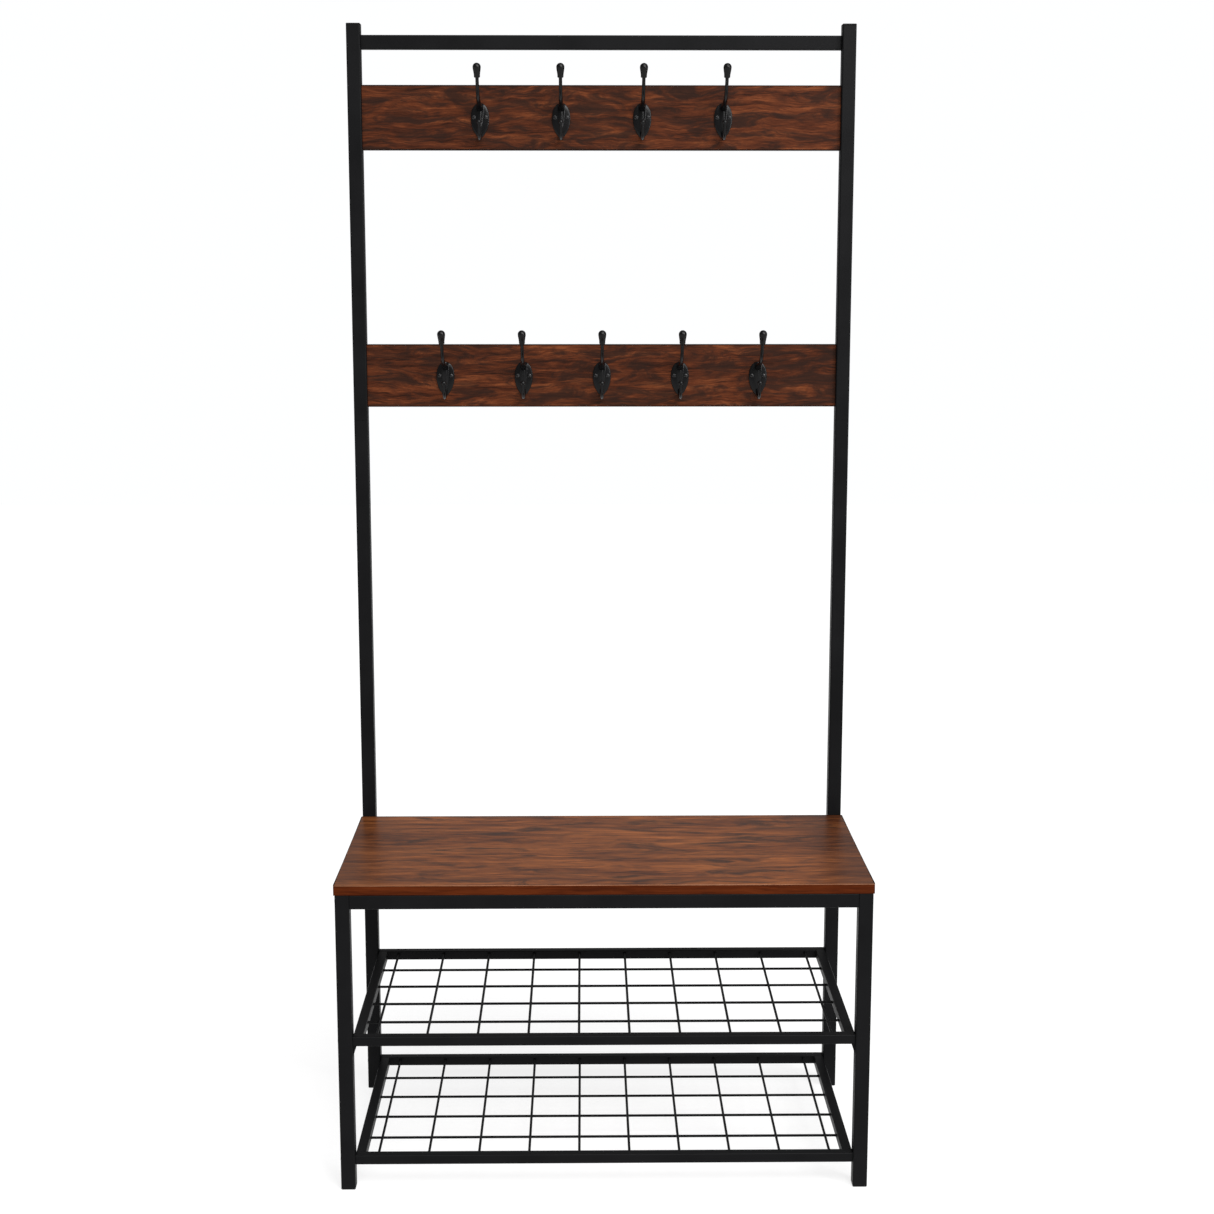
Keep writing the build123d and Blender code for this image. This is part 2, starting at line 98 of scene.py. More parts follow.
# The sheet is a grid of squares, each point at its row's and its column's distance.
paper_x = np.linspace(-PAPER_HALF_WIDTH, PAPER_HALF_WIDTH, PAPER_ROW)
paper_y = np.linspace(PAPER_FRONT, PAPER_REAR, PAPER_ROW)
paper_points = np.zeros((PAPER_ROW, PAPER_ROW, 3))
paper_points[:, :, 0] = paper_x
paper_points[:, :, 1] = paper_y[:, None]
squares = np.arange(PAPER_ROW - 1)
corner_index = (squares[:, None] * PAPER_ROW + squares).reshape(-1)
paper_faces = corner_index[:, None] + np.array([0, 1, PAPER_ROW + 1, PAPER_ROW])
paper_mesh = bpy.data.meshes.new("studio_sweep")
paper_mesh.from_pydata(paper_points.reshape(-1, 3).tolist(), [], paper_faces.tolist())
paper_mesh.materials.append(studio_paper())
studio_sweep = bpy.data.objects.new("studio_sweep", paper_mesh)
bpy.context.scene.collection.objects.link(studio_sweep)

sun_data = bpy.data.lights.new("big_soft_light", "SUN")
sun_data.energy = 3.7
sun_data.angle = math.radians(70)
sun = bpy.data.objects.new("big_soft_light", sun_data)
sun.rotation_euler = (math.radians(46), 0, math.radians(24))
bpy.context.scene.collection.objects.link(sun)

softbox_data = bpy.data.lights.new("softbox", "AREA")
softbox_data.shape = "RECTANGLE"
softbox_data.size = 0.9
softbox_data.size_y = 1.4
softbox_data.energy = 42
softbox = bpy.data.objects.new("softbox", softbox_data)
softbox.location = (1.0, -2.6, 3.1)
softbox.rotation_euler = (math.radians(52), 0, math.radians(20))
bpy.context.scene.collection.objects.link(softbox)

strip_data = bpy.data.lights.new("strip_light", "AREA")
strip_data.shape = "RECTANGLE"
strip_data.size = 0.4
strip_data.size_y = 1.5
strip_data.energy = 30
strip = bpy.data.objects.new("strip_light", strip_data)
strip.location = (2.0, -1.6, 1.9)
strip.rotation_euler = (math.radians(79), 0, math.radians(49))
bpy.context.scene.collection.objects.link(strip)

# The room round the studio is dim, but plain white where the camera looks straight at it.
room = bpy.data.worlds.new("room")
bpy.context.scene.world = room
room.use_nodes = True
room_tree = room.node_tree
room_light = room_tree.nodes["Background"]
room_light.inputs["Color"].default_value = (0.985, 0.99, 1.0, 1)
seen = room_tree.nodes.new("ShaderNodeLightPath")
room_strength = room_tree.nodes.new("ShaderNodeMapRange")
room_strength.inputs["To Min"].default_value = 0.36
room_strength.inputs["To Max"].default_value = 1.01
room_tree.links.new(seen.outputs["Is Camera Ray"], room_strength.inputs["Value"])
room_tree.links.new(room_strength.outputs["Result"], room_light.inputs["Strength"])

# Legs: 22 mm square steel tube, cold formed with small round corners, cut square and deburred,
# then powder coated satin black. Two in front, two behind under the posts.
MM = 0.001
LEG_CORNER = 2.0 * MM
TUBE_WALL = 1.2 * MM
DEBURR = 0.25 * MM
FLAT_LEAD = 0.4 * MM
BORE_CORNER = 0.5 * MM


def new_group(name, inputs, outputs):
    """A shader node group with its named sockets, returned with its two end nodes."""
    group = bpy.data.node_groups.new(name, "ShaderNodeTree")
    for label, kind, value in inputs:
        socket = group.interface.new_socket(label, in_out="INPUT", socket_type=kind)
        socket.default_value = value
    for label, kind in outputs:
        group.interface.new_socket(label, in_out="OUTPUT", socket_type=kind)
    return group, group.nodes.new("NodeGroupInput"), group.nodes.new("NodeGroupOutput")


def orange_peel_group():
    """Sprayed and baked coat: fine round bumps, and slow changes in how thick it lies."""
    group, given, made = new_group(
        "orange_peel",
        [("Bumps Per Metre", "NodeSocketFloat", 500.0)],
        [("Height", "NodeSocketFloat"), ("Mottle", "NodeSocketFloat")],
    )
    place = group.nodes.new("ShaderNodeTexCoord")
    bumps = group.nodes.new("ShaderNodeTexNoise")
    bumps.inputs["Detail"].default_value = 3
    bumps.inputs["Roughness"].default_value = 0.55
    slow = group.nodes.new("ShaderNodeTexNoise")
    slow.inputs["Scale"].default_value = 14
    slow.inputs["Detail"].default_value = 5
    group.links.new(place.outputs["Object"], bumps.inputs["Vector"])
    group.links.new(place.outputs["Object"], slow.inputs["Vector"])
    group.links.new(given.outputs["Bumps Per Metre"], bumps.inputs["Scale"])
    group.links.new(bumps.outputs["Fac"], made.inputs["Height"])
    group.links.new(slow.outputs["Fac"], made.inputs["Mottle"])
    return group


orange_peel = orange_peel_group()


def coated(name, deep, pale, bumps, depth, rough, gloss, coat=0.0, metallic=0.0):
    """A coated or moulded finish: two close tones, a roughness range and a fine bump."""
    material, tree, shader = new_finish(name)
    peel = tree.nodes.new("ShaderNodeGroup")
    peel.node_tree = orange_peel
    peel.inputs["Bumps Per Metre"].default_value = bumps
    tone = tree.nodes.new("ShaderNodeValToRGB")
    tone.color_ramp.elements[0].position = 0.3
    tone.color_ramp.elements[0].color = (*deep, 1)
    tone.color_ramp.elements[1].position = 0.7
    tone.color_ramp.elements[1].color = (*pale, 1)
    roughness = tree.nodes.new("ShaderNodeMapRange")
    roughness.inputs["From Min"].default_value = 0.3
    roughness.inputs["From Max"].default_value = 0.7
    roughness.inputs["To Min"].default_value = rough[0]
    roughness.inputs["To Max"].default_value = rough[1]
    bump = tree.nodes.new("ShaderNodeBump")
    bump.inputs["Strength"].default_value = depth
    bump.inputs["Distance"].default_value = 0.3 * MM
    tree.links.new(peel.outputs["Mottle"], tone.inputs["Fac"])
    tree.links.new(peel.outputs["Mottle"], roughness.inputs["Value"])
    tree.links.new(peel.outputs["Height"], bump.inputs["Height"])
    tree.links.new(tone.outputs["Color"], shader.inputs["Base Color"])
    tree.links.new(roughness.outputs["Result"], shader.inputs["Roughness"])
    tree.links.new(bump.outputs["Normal"], shader.inputs["Normal"])
    shader.inputs["Specular IOR Level"].default_value = gloss
    shader.inputs["Coat Weight"].default_value = coat
    shader.inputs["Coat Roughness"].default_value = 0.12
    shader.inputs["Metallic"].default_value = metallic
    return material


def rounded_outline(half_a, half_b, corner):
    """Rounded rectangle, anticlockwise: four quarter circles, each led in and out by a point
    close to it on the flats, which keeps the flats flat in their shading."""
    turn = np.linspace(0, math.pi / 2, 6)
    arc = corner * np.stack([np.cos(turn), np.sin(turn)], axis=1)
    quarter = np.concatenate([[[corner, -FLAT_LEAD]], arc, [[-FLAT_LEAD, corner]]])
    centre = np.array([half_a - corner, half_b - corner])
    quarters = []
    for turns, signs in enumerate(((1, 1), (-1, 1), (-1, -1), (1, -1))):
        angle = turns * math.pi / 2
        spin = np.array([[math.cos(angle), math.sin(angle)], [-math.sin(angle), math.cos(angle)]])
        quarters.append(quarter @ spin + centre * signs)
    return np.concatenate(quarters)


def laid_across(axis, along, outline, centre):
    """The outline as a ring in space, square to the axis at one place along it."""
    ring = np.empty((len(outline), 3))
    ring[:, axis] = along
    ring[:, (axis + 1) % 3] = centre[(axis + 1) % 3] + outline[:, 0]
    ring[:, (axis + 2) % 3] = centre[(axis + 2) % 3] + outline[:, 1]
    return ring


def skin(rings, looped=False):
    """Points and faces of the surface through rings of equal count. A looped skin joins its
    last ring to its first. Any other is closed at each end onto the middle of the end ring."""
    count, around = rings.shape[:2]
    points = rings.reshape(-1, 3)
    index = np.arange(count * around).reshape(count, around)
    lower = index if looped else index[:-1]
    upper = np.roll(index, -1, axis=0) if looped else index[1:]
    sides = [lower, np.roll(lower, -1, axis=1), np.roll(upper, -1, axis=1), upper]
    faces = [np.stack(sides, axis=-1).reshape(-1, 4)]
    if not looped:
        poles = [rings[0].mean(axis=0), rings[-1].mean(axis=0)]
        first = np.full(around, len(points))
        faces.append(np.stack([np.roll(index[0], -1), index[0], first], axis=-1))
        faces.append(np.stack([index[-1], np.roll(index[-1], -1), first + 1], axis=-1))
        points = np.concatenate([points, poles])
    return points, faces


def square_tube(node, corner=LEG_CORNER):
    """Hollow tube as long as the CAD node: the outline is carried over the outside, round the
    cut end, back through the bore and round the first end, so the skin closes on itself."""
    lo, hi = (np.array(c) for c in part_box(node))
    axis = int(np.argmax(hi - lo))
    half = (hi - lo) / 2
    start, stop = lo[axis], hi[axis]
    stations = (
        (start, DEBURR),
        (start + DEBURR, 0),
        (stop - DEBURR, 0),
        (stop, DEBURR),
        (stop, TUBE_WALL - DEBURR),
        (stop - DEBURR, TUBE_WALL),
        (start + DEBURR, TUBE_WALL),
        (start, TUBE_WALL - DEBURR),
    )
    rings = []
    for along, inset in stations:
        half_a = half[(axis + 1) % 3] - inset
        half_b = half[(axis + 2) % 3] - inset
        outline = rounded_outline(half_a, half_b, max(corner - inset, BORE_CORNER))
        rings.append(laid_across(axis, along, outline, (lo + hi) / 2))
    return skin(np.array(rings), looped=True)


def add_piece(name, shells, material, nodes=(), crease=28):
    """One visible piece from closed shells. It rides on the frame and stands for CAD nodes."""
    points = []
    faces = []
    start = 0
    for shell_points, shell_faces in shells:
        points.append(shell_points)
        for block in shell_faces:
            faces += (block + start).tolist()
        start += len(shell_points)
    mesh = bpy.data.meshes.new(name)
    mesh.from_pydata(np.concatenate(points).tolist(), [], faces)
    mesh.polygons.foreach_set("use_smooth", np.ones(len(faces), bool))
    mesh.set_sharp_from_angle(angle=math.radians(crease))
    mesh.materials.append(material)
    piece = bpy.data.objects.new(name, mesh)
    bpy.context.scene.collection.objects.link(piece)
    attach(piece, "root")
    if nodes:
        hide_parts(*nodes)
    return piece


powder_black = coated(
    "powder_black",
    deep=(0.0020, 0.0020, 0.0023),
    pale=(0.0036, 0.0036, 0.0040),
    bumps=650,
    depth=0.1,
    rough=(0.4, 0.52),
    gloss=0.075,
)
for side in ("left", "right"):
    for leg in ("front_leg", "rear_leg"):
        node = f"{leg}_{side}"
        add_piece(f"{node}_tube", [square_tube(node)], powder_black, [node])

# Foot glides: black moulded plastic plugs pushed into the feet of the legs. The flange is as
# wide as the tube, with its lower edge rounded so that it slides over a floor.
GLIDE_FLANGE = 4.0 * MM
GLIDE_ROUND = 1.8 * MM
CAP_FLANGE = 3.0 * MM
CAP_ROUND = 1.0 * MM
PLUG_INSET = 1.4 * MM
RIB = 0.35 * MM
STEM_CORNER = 0.6 * MM


def moulded_plug(node, flange, edge, points_up):
    """Flange with one rounded rim, then a ribbed stem: a rounded square outline that shrinks
    along a quarter circle at the rim and steps in to the stem's width behind the flange."""
    lo, hi = (np.array(c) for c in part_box(node))
    half = (hi - lo) / 2
    turn = np.linspace(0.05, math.pi / 2, 6)
    stem_length = hi[2] - lo[2] - flange
    depth_and_inset = [(0, edge + FLAT_LEAD)]
    depth_and_inset += [(edge * (1 - math.cos(t)), edge * (1 - math.sin(t))) for t in turn]
    depth_and_inset += [(flange - DEBURR, 0), (flange, DEBURR), (flange, PLUG_INSET)]
    for step in np.linspace(0.1, 0.9, 9):
        ribbed = PLUG_INSET + RIB * (round(step * 10) % 2)
        depth_and_inset.append((flange + stem_length * step, ribbed))
    depth_and_inset.append((flange + stem_length, PLUG_INSET + 2 * RIB))
    rings = []
    for depth, inset in depth_and_inset:
        height = hi[2] - depth if points_up else lo[2] + depth
        corner = max(LEG_CORNER - inset, STEM_CORNER)
        outline = rounded_outline(half[0] - inset, half[1] - inset, corner)
        rings.append(laid_across(2, height, outline, (lo + hi) / 2))
    rings = rings[::-1] if points_up else rings
    return skin(np.array(rings))


moulded_black = coated(
    "moulded_black",
    deep=(0.0026, 0.0026, 0.0028),
    pale=(0.0042, 0.0042, 0.0044),
    bumps=1500,
    depth=0.2,
    rough=(0.5, 0.65),
    gloss=0.08,
)
for side in ("left", "right"):
    for end in ("front", "rear"):
        node = f"foot_glide_{end}_{side}"
        glide = moulded_plug(node, GLIDE_FLANGE, GLIDE_ROUND, points_up=False)
        add_piece(f"{node}_moulding", [glide], moulded_black, [node])

# Seat frame: four aprons in the same tube as the legs, level with the legs' outer faces. The
# side ones are welded to the legs, the front and rear ones are bolted between them.
WELD_RADIUS = 1.5 * MM
RIPPLE_PITCH = 1.3 * MM
UNDER_BEAD_RADIUS = 1.2 * MM
UNDER_BEAD_GAP = 2.0 * MM
UNDER_BEAD_SINK = 0.3 * MM


def weld_bead(start, stop, radius=WELD_RADIUS):
    """A bead laid from start to stop: a round bar whose radius swells and shrinks like a row of
    overlapping drops, and closes quickly at both ends."""
    start = np.array(start)
    stop = np.array(stop)
    length = np.linalg.norm(stop - start)
    heading = (stop - start) / length
    along = np.linspace(0, length, int(length / RIPPLE_PITCH * 4) + 9)
    ripple = 0.86 + 0.14 * np.abs(np.sin(math.pi * along / RIPPLE_PITCH))
    closing = np.clip(np.minimum(along, length - along) / radius, 0.02, 1) ** 0.5
    across = np.cross(heading, [0, 0, 1] if abs(heading[2]) < 0.9 else [1, 0, 0])
    across = across / np.linalg.norm(across)
    other = np.cross(heading, across)
    angle = np.linspace(0, 2 * math.pi, 10, endpoint=False)
    circle = np.cos(angle)[:, None] * across + np.sin(angle)[:, None] * other
    centre = start + along[:, None] * heading
    return skin(centre[:, None, :] + (radius * ripple * closing)[:, None, None] * circle)


for end in ("front", "rear", "left", "right"):
    node = f"seat_apron_{end}"
    add_piece(f"{node}_tube", [square_tube(node)], powder_black, [node])

leg_lo, leg_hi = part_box("front_leg_right")
apron_lo, apron_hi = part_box("seat_apron_right")
apron_beads = []
for way in (-1, 1):
    for mirror in (-1, 1):
        corner_x = mirror * leg_lo[0]
        corner_y = way * apron_hi[1]
        bead_foot = (corner_x, corner_y, apron_lo[2] + MM)
        bead_top = (corner_x, corner_y, apron_hi[2] - MM)
        apron_beads.append(weld_bead(bead_foot, bead_top))
        low_z = apron_lo[2] + UNDER_BEAD_SINK
        bead_start = (mirror * (apron_lo[0] + UNDER_BEAD_GAP), corner_y, low_z)
        bead_stop = (mirror * (apron_hi[0] - UNDER_BEAD_GAP), corner_y, low_z)
        apron_beads.append(weld_bead(bead_start, bead_stop, UNDER_BEAD_RADIUS))
add_piece("seat_frame_welds", apron_beads, powder_black)

# Shelf frames: four rails of 15 mm square tube, welded into a rectangle that is bolted between
# the legs, twice. The upper one also rests on two small wedges welded to the front legs.
SHELF_CORNER = 1.6 * MM
SHELF_BEAD_RADIUS = 1.3 * MM
SHELF_BEAD_DROP = 1.5 * MM
LUG_REACH = 5.5 * MM
LUG_EDGE = 0.4 * MM
LUG_SHRINK = 0.88

for shelf in ("upper", "lower"):
    for end in ("front", "rear", "left", "right"):
        node = f"{shelf}_shelf_rail_{end}"
        tube = square_tube(node, SHELF_CORNER)
        add_piece(f"{node}_tube", [tube], powder_black, [node])
    side_lo, side_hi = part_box(f"{shelf}_shelf_rail_right")
    shelf_beads = []
    for way in (-1, 1):
        for mirror in (-1, 1):
            for face in (side_lo[0], side_hi[0]):
                bead_foot = (mirror * face, way * side_hi[1], side_lo[2] + MM)
                bead_top = (mirror * face, way * side_hi[1], side_hi[2] - SHELF_BEAD_DROP)
                shelf_beads.append(weld_bead(bead_foot, bead_top, SHELF_BEAD_RADIUS))
    add_piece(f"{shelf}_shelf_frame_welds", shelf_beads, powder_black)


def wedge_lug(lo, hi, mirror):
    """Small triangular block: a right-angled triangle with one side on the leg and one under
    the rail, its long edge sloping up and inwards, carried through its thickness and drawn in a
    little towards its middle at both faces."""
    on_leg = mirror * hi[0]
    reach = mirror * (hi[0] - LUG_REACH)
    corners = np.array([[on_leg, hi[2]], [on_leg, lo[2]], [reach, hi[2]]])
    middle = corners.mean(axis=0)
    stations = (
        (lo[1], LUG_SHRINK),
        (lo[1] + LUG_EDGE, 1),
        (hi[1] - LUG_EDGE, 1),
        (hi[1], LUG_SHRINK),
    )
    rings = []
    for y, shrink in stations:
        ring = np.empty((3, 3))
        ring[:, [0, 2]] = middle + (corners - middle) * shrink
        ring[:, 1] = y
        rings.append(ring if mirror > 0 else ring[::-1])
    return skin(np.array(rings))


lug_lo, lug_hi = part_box("upper_shelf_lugs")
lugs = [wedge_lug(lug_lo, lug_hi, mirror) for mirror in (-1, 1)]
add_piece("upper_shelf_lug_blocks", lugs, powder_black, ["upper_shelf_lugs"])

# Wire mesh: 4 mm steel wire, ten pieces front to back on top of four pieces left to right, each
# crossing spot welded and each end welded to a rail, all coated with the frame.
CROSS_COUNT = 10
LONG_COUNT = 4
WIRE_AROUND = 12
COLLAR_RADIUS = 2.7 * MM
COLLAR_DEPTHS = np.array([-0.1, 0.5, 1.4, 2.4]) * MM
NUGGET_DEPTHS = np.array([-1.5, -1.1, 0, 1.1, 1.5]) * MM
NUGGET_RADII = np.array([0.5, 1.35, 1.8, 1.35, 0.5]) * MM
NUGGET_AROUND = 8

wire_black = coated(
    "wire_black",
    deep=(0.0016, 0.0016, 0.0018),
    pale=(0.0030, 0.0030, 0.0032),
    bumps=900,
    depth=0.12,
    rough=(0.36, 0.48),
    gloss=0.06,
)


def turned(origin, heading, along, radius, around=WIRE_AROUND):
    """A turned shape: circles of the given radii at the given distances along the heading.
    Each radius may be one number, or one for every direction round the axis."""
    heading = np.array(heading, float)
    across = np.array([0.0, 0.0, 1.0]) if abs(heading[2]) < 0.5 else np.array([1.0, 0.0, 0.0])
    other = np.cross(heading, across)
    angle = np.linspace(0, 2 * math.pi, around, endpoint=False)
    circle = np.cos(angle)[:, None] * across + np.sin(angle)[:, None] * other
    radius = np.asarray(radius, float)
    radius = radius[:, None] if radius.ndim == 1 else radius
    centre = np.array(origin) + np.asarray(along)[:, None] * heading
    return skin(centre[:, None, :] + radius[:, :, None] * circle)


def wire_places(node, axis, count):
    """Radius, start, end and centre lines of a row of wires that fill the node's box."""
    lo, hi = (np.array(c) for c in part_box(node))
    radius = (hi[2] - lo[2]) / 2
    across = 1 - axis
    places = np.linspace(lo[across] + radius, hi[across] - radius, count)
    return radius, lo[axis], hi[axis], places, (lo[2] + hi[2]) / 2


for shelf in ("upper", "lower"):
    rows = {}
    for direction, axis, count in (("cross", 1, CROSS_COUNT), ("long", 0, LONG_COUNT)):
        node = f"{shelf}_shelf_{direction}_wires"
        radius, start, stop, places, height = wire_places(node, axis, count)
        rows[direction] = (places, height)
        heading = [0, 0, 0]
        heading[axis] = 1
        wires = []
        collars = []
        for place in places:
            origin = [place, place, height]
            origin[axis] = start
            span = stop - start
            wires.append(turned(origin, heading, [0, span * 0.5, span], [radius] * 3))
            flare = [COLLAR_RADIUS, COLLAR_RADIUS * 0.8, radius * 1.12, radius * 0.9]
            collars.append(turned(origin, heading, COLLAR_DEPTHS, flare))
            far = list(origin)
            far[axis] = stop
            collars.append(turned(far, [-h for h in heading], COLLAR_DEPTHS, flare))
        add_piece(f"{node}_drawn", wires, wire_black, [node])
        add_piece(f"{node}_end_welds", collars, wire_black)
    nuggets = []
    cross_places, cross_height = rows["cross"]
    long_places, long_height = rows["long"]
    for x in cross_places:
        for y in long_places:
            middle = (x, y, (cross_height + long_height) / 2)
            nuggets.append(turned(middle, (0, 0, 1), NUGGET_DEPTHS, NUGGET_RADII, NUGGET_AROUND))
    add_piece(f"{shelf}_shelf_spot_welds", nuggets, wire_black)

# Seat board: 15 mm particle board in a printed wood-grain foil, dark reddish brown and satin, with
# thin bands glued round its edges. A pale strip along the top of the front band is a painted
# highlight, where the rounded front edge catches the light. It lies on the aprons and is
# screwed up from below through welded tabs.
BAND = 0.8 * MM
# Height of the strip along the seat's top front edge that carries the painted highlight.
SEAT_HIGHLIGHT_HEIGHT = 1.3 * MM
GRAIN_WANDER = 0.026
PATCH_EDGE = 0.17
PORE_SHARE = 0.7
SMOKE_SHARE = 0.85
# Painted shade on the seat: it starts to darken this far off the middle and is fully dark this far,
# in metres.
END_SHADE_FROM = 0.27
END_SHADE_TO = 0.41


def wood_grain_group():
    """Printed rustic wood. The grain runs along the vector's X and its lines lie across Y, in
    metres. Wavy streaks, finer fibres, slow bands, smoky patches with ragged ends, small knots."""
    group, given, made = new_group(
        "wood_grain",
        [("Vector", "NodeSocketVector", (0, 0, 0)), ("Patches", "NodeSocketFloat", 0.5)],
        [
            ("Tone", "NodeSocketFloat"),
            ("Smoke", "NodeSocketFloat"),
            ("Height", "NodeSocketFloat"),
        ],
    )
    nodes = group.nodes
    links = group.links

    def stretched(source, scale):
        spread = nodes.new("ShaderNodeVectorMath")
        spread.operation = "MULTIPLY"
        spread.inputs[1].default_value = scale
        links.new(source, spread.inputs[0])
        return spread.outputs["Vector"]

    def noise(source, scale, detail, rough, distortion=0.0):
        pattern = nodes.new("ShaderNodeTexNoise")
        pattern.inputs["Scale"].default_value = 1
        pattern.inputs["Detail"].default_value = detail
        pattern.inputs["Roughness"].default_value = rough
        pattern.inputs["Distortion"].default_value = distortion
        links.new(stretched(source, scale), pattern.inputs["Vector"])
        return pattern.outputs["Fac"]

    def blended(first, first_share, second, second_share):
        total = nodes.new("ShaderNodeMath")
        total.operation = "MULTIPLY_ADD"
        part = nodes.new("ShaderNodeMath")
        part.operation = "MULTIPLY"
        part.inputs[1].default_value = second_share
        links.new(second, part.inputs[0])
        links.new(first, total.inputs[0])
        total.inputs[1].default_value = first_share
        links.new(part.outputs["Value"], total.inputs[2])
        return total.outputs["Value"]

    def mask(source, low, high):
        ramp = nodes.new("ShaderNodeMapRange")
        ramp.interpolation_type = "SMOOTHSTEP"
        ramp.inputs["From Min"].default_value = low
        ramp.inputs["From Max"].default_value = high
        links.new(source, ramp.inputs["Value"])
        return ramp.outputs["Result"]

    # The grain lines wander: each point's place across the grain is shifted by slow noise.
    wander = noise(given.outputs["Vector"], (9, 20, 16), 4, 0.55)
    shift = nodes.new("ShaderNodeCombineXYZ")
    wide = nodes.new("ShaderNodeMath")
    wide.operation = "MULTIPLY"
    wide.inputs[1].default_value = GRAIN_WANDER
    links.new(wander, wide.inputs[0])
    links.new(wide.outputs["Value"], shift.inputs["Y"])
    moved = nodes.new("ShaderNodeVectorMath")
    links.new(given.outputs["Vector"], moved.inputs[0])
    links.new(shift.outputs["Vector"], moved.inputs[1])
    lines = moved.outputs["Vector"]

    streaks = noise(lines, (11, 160, 50), 6, 0.66, 0.5)
    fibres = noise(lines, (42, 520, 200), 3, 0.66)
    bands = noise(lines, (6, 36, 20), 4, 0.6, 0.8)
    patches = noise(lines, (15, 58, 30), 5, 0.64, 1.2)
    flecks = noise(lines, (60, 380, 100), 2, 0.5)

    tone = blended(blended(streaks, 0.5, fibres, 0.36), 1.0, bands, 0.34)
    links.new(tone, made.inputs["Tone"])

    ragged = blended(patches, 0.78, streaks, 0.22)
    threshold = nodes.new("ShaderNodeMapRange")
    threshold.interpolation_type = "SMOOTHSTEP"
    upper = nodes.new("ShaderNodeMath")
    upper.operation = "ADD"
    upper.inputs[1].default_value = PATCH_EDGE
    links.new(given.outputs["Patches"], upper.inputs[0])
    links.new(given.outputs["Patches"], threshold.inputs["From Min"])
    links.new(upper.outputs["Value"], threshold.inputs["From Max"])
    links.new(ragged, threshold.inputs["Value"])
    pores = mask(flecks, 0.64, 0.74)
    dark = nodes.new("ShaderNodeMath")
    dark.operation = "MAXIMUM"
    links.new(threshold.outputs["Result"], dark.inputs[0])
    faint_pores = nodes.new("ShaderNodeMath")
    faint_pores.operation = "MULTIPLY"
    faint_pores.inputs[1].default_value = PORE_SHARE
    links.new(pores, faint_pores.inputs[0])
    links.new(faint_pores.outputs["Value"], dark.inputs[1])
    links.new(dark.outputs["Value"], made.inputs["Smoke"])
    links.new(blended(fibres, 0.7, streaks, 0.5), made.inputs["Height"])
    return group


wood_grain = wood_grain_group()


def laminate(name, turn, offset, stretch, patches, tones, smoke, rough, gloss, ends=0.0):
    """Printed foil over board: the grain's tone picks a brown, smoke darkens it, and the
    foil's pressed pores give a slight bump and a change in shine. Where ends is given, the board
    also darkens by that share from some way off its middle towards its left and right ends: painted
    shade, standing for the shade and the posts' dark reflections at the seat's ends."""
    material, tree, shader = new_finish(name)
    place = tree.nodes.new("ShaderNodeTexCoord")
    mapping = tree.nodes.new("ShaderNodeMapping")
    mapping.inputs["Rotation"].default_value = turn
    mapping.inputs["Location"].default_value = offset
    mapping.inputs["Scale"].default_value = stretch
    grain = tree.nodes.new("ShaderNodeGroup")
    grain.node_tree = wood_grain
    grain.inputs["Patches"].default_value = patches
    tree.links.new(place.outputs["Object"], mapping.inputs["Vector"])
    tree.links.new(mapping.outputs["Vector"], grain.inputs["Vector"])
    browns = tree.nodes.new("ShaderNodeValToRGB")
    browns.color_ramp.elements[0].position = tones[0][0]
    browns.color_ramp.elements[0].color = (*tones[0][1], 1)
    browns.color_ramp.elements[1].position = tones[-1][0]
    browns.color_ramp.elements[1].color = (*tones[-1][1], 1)
    for position, colour in tones[1:-1]:
        browns.color_ramp.elements.new(position).color = (*colour, 1)
    tree.links.new(grain.outputs["Tone"], browns.inputs["Fac"])
    smoked = tree.nodes.new("ShaderNodeMix")
    smoked.data_type = "RGBA"
    smoked.inputs[7].default_value = (*smoke, 1)
    tree.links.new(browns.outputs["Color"], smoked.inputs[6])
    share = tree.nodes.new("ShaderNodeMath")
    share.operation = "MULTIPLY"
    share.inputs[1].default_value = SMOKE_SHARE
    tree.links.new(grain.outputs["Smoke"], share.inputs[0])
    darkening_share = share.outputs["Value"]
    # Painted shade: darker towards the left and right ends, standing for the shade and the posts'
    # dark reflections there.
    if ends:
        apart = tree.nodes.new("ShaderNodeSeparateXYZ")
        tree.links.new(place.outputs["Object"], apart.inputs["Vector"])
        reach = tree.nodes.new("ShaderNodeMath")
        reach.operation = "ABSOLUTE"
        tree.links.new(apart.outputs["X"], reach.inputs[0])
        end_shade = tree.nodes.new("ShaderNodeMapRange")
        end_shade.interpolation_type = "SMOOTHSTEP"
        end_shade.inputs["From Min"].default_value = END_SHADE_FROM
        end_shade.inputs["From Max"].default_value = END_SHADE_TO
        end_shade.inputs["To Max"].default_value = ends
        tree.links.new(reach.outputs["Value"], end_shade.inputs["Value"])
        darker = tree.nodes.new("ShaderNodeMath")
        darker.operation = "MAXIMUM"
        tree.links.new(end_shade.outputs["Result"], darker.inputs[0])
        tree.links.new(darkening_share, darker.inputs[1])
        darkening_share = darker.outputs["Value"]
    tree.links.new(darkening_share, smoked.inputs[0])
    tree.links.new(smoked.outputs[2], shader.inputs["Base Color"])
    roughness = tree.nodes.new("ShaderNodeMapRange")
    roughness.inputs["From Min"].default_value = 0.3
    roughness.inputs["From Max"].default_value = 0.9
    roughness.inputs["To Min"].default_value = rough[0]
    roughness.inputs["To Max"].default_value = rough[1]
    tree.links.new(grain.outputs["Height"], roughness.inputs["Value"])
    tree.links.new(roughness.outputs["Result"], shader.inputs["Roughness"])
    bump = tree.nodes.new("ShaderNodeBump")
    bump.inputs["Strength"].default_value = 0.18
    bump.inputs["Distance"].default_value = 0.2 * MM
    tree.links.new(grain.outputs["Height"], bump.inputs["Height"])
    tree.links.new(bump.outputs["Normal"], shader.inputs["Normal"])
    shader.inputs["Specular IOR Level"].default_value = gloss
    return material


